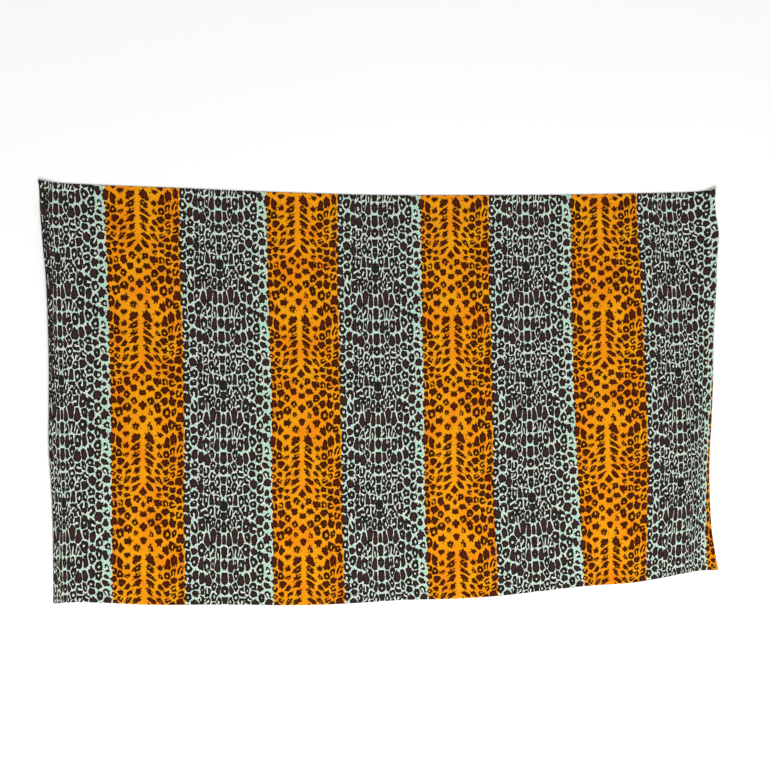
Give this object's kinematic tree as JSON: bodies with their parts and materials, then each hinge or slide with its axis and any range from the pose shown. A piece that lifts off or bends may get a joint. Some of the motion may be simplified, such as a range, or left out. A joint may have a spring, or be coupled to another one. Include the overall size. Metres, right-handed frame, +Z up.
{
  "type": "sarong laid flat",
  "caption": "Oblong wrap cloth with a printed face and narrow turned hems, spread out flat with soft folds and rolled short edges.",
  "frame": {"origin": "on the surface the cloth lies on, under the centre of its bounding box", "axes": "+X along the long edges, +Y across the cloth towards the edge with the two pulled-out corners, +Z up out of the printed face"},
  "size_m": [1.853, 1.1294, 0.016],
  "materials": {
    "printed_cotton": "soft matt print in orange, mint and near-black",
    "hem": "matt, the paler back of the print, with a row of stitches"
  },
  "bodies": {
    "root": {"panel": "printed_cotton", "hem_top": "hem", "hem_bottom": "hem", "hem_left": "hem", "hem_right": "hem"}
  },
  "joints": []
}
